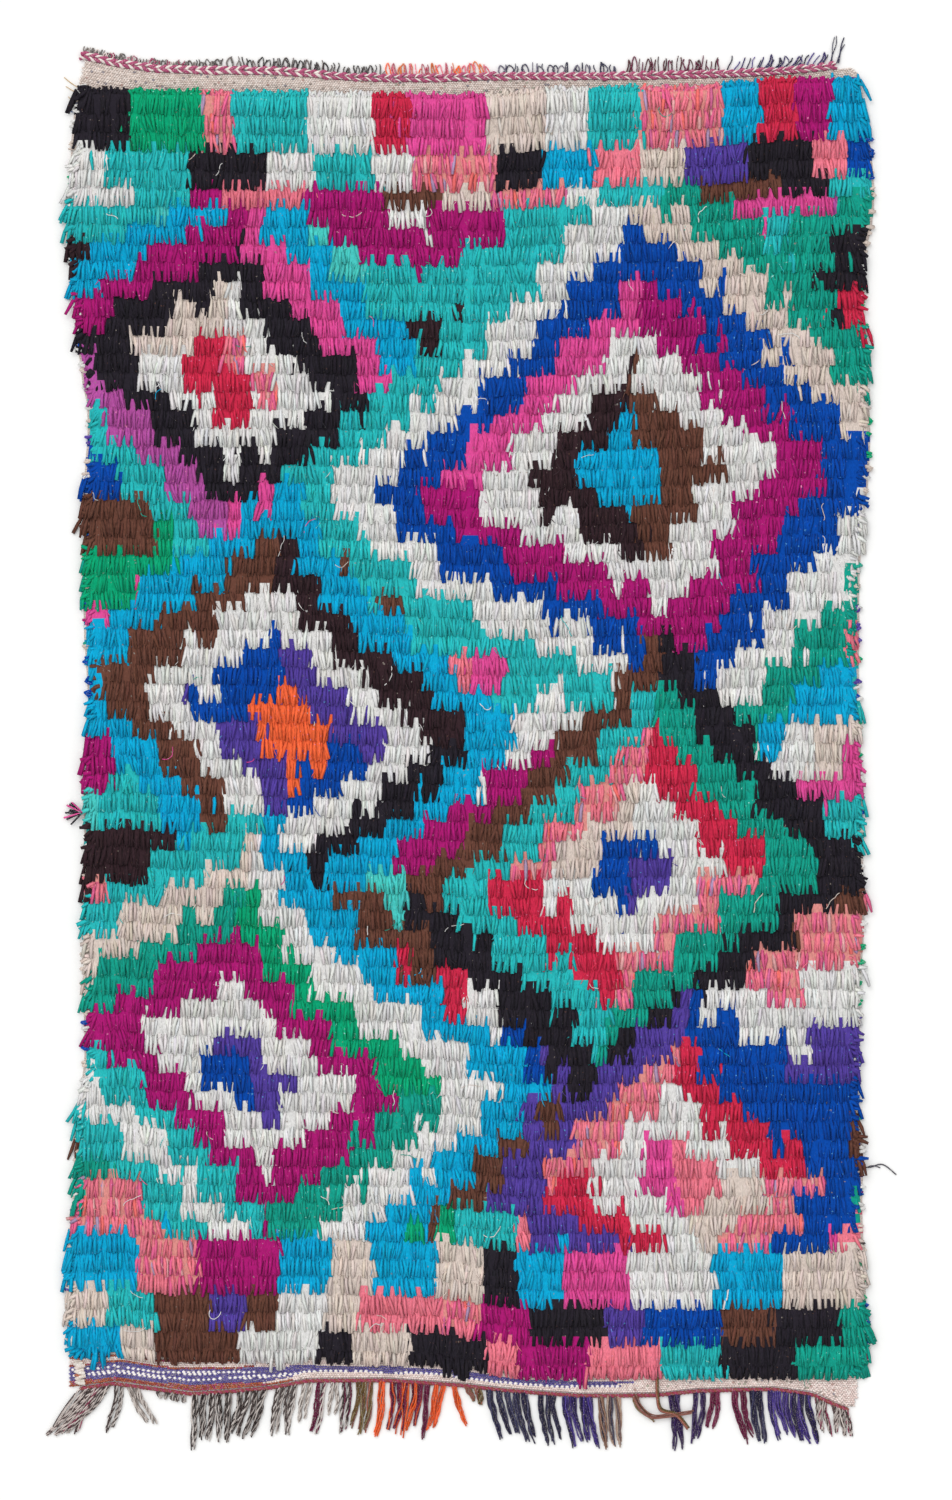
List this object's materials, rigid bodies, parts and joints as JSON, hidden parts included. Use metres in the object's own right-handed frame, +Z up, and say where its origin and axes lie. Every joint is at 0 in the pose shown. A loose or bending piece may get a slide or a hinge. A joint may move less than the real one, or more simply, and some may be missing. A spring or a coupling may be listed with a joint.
{
  "type": "boucherouite rug",
  "caption": "Hand-knotted rag pile rug that lies flat on a floor: dense shag in uneven rows, flat-woven ends, twined end cords, short warp tips and a long uneven warp fringe.",
  "frame": {"origin": "middle of the rug's overall length and width, on the floor it lies on", "axes": "+Y along the rug towards its upper end, the one with the short warp tips; +X across it to the right as seen from above; +Z up"},
  "size_m": [1.4588, 2.4726, 0.0227],
  "materials": {
    "rag_pile": "matte cut rag and wool pile in many colours, mostly white, turquoise, blue, magenta and black",
    "rose_twine": "matte rose and white twined wool with dark wool tips",
    "marled_wool": "matte hand-spun wool, grey marled, burgundy, orange and dark blue yarns"
  },
  "bodies": {
    "root": {"rag_pile_body": "rag_pile", "upper_warp_tips": "rose_twine", "lower_warp_fringe": "marled_wool"}
  },
  "joints": []
}
